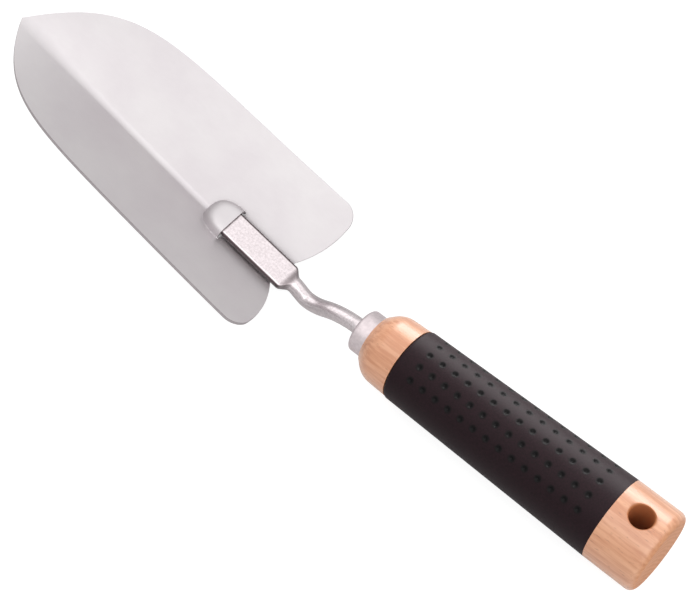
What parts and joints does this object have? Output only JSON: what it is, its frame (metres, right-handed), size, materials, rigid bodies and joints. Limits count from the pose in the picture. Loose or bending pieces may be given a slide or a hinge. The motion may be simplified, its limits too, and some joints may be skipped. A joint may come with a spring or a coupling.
{
  "type": "garden hand trowel",
  "caption": "Hand trowel: a folded steel blade with a pointed tip on a bent steel rod, a metal ferrule, a round wooden handle with a hanging hole and a dimpled rubber grip.",
  "frame": {"origin": "centre of the flat butt end of the handle", "axes": "+X along the handle towards the blade's tip, +Z to the hollow side of the blade and along the hanging hole, +Y across"},
  "size_m": [0.3283, 0.0726, 0.0581],
  "materials": {
    "blade_steel": "satin pressed sheet",
    "tang_steel": "polished forged rod",
    "ferrule_metal": "dull cap",
    "handle_wood": "pale turned wood, thin clear coat",
    "grip_rubber": "matt black"
  },
  "bodies": {
    "root": {"blade": "blade_steel", "tang": "tang_steel", "ferrule": "ferrule_metal", "handle": "handle_wood", "grip": "grip_rubber"}
  },
  "joints": []
}
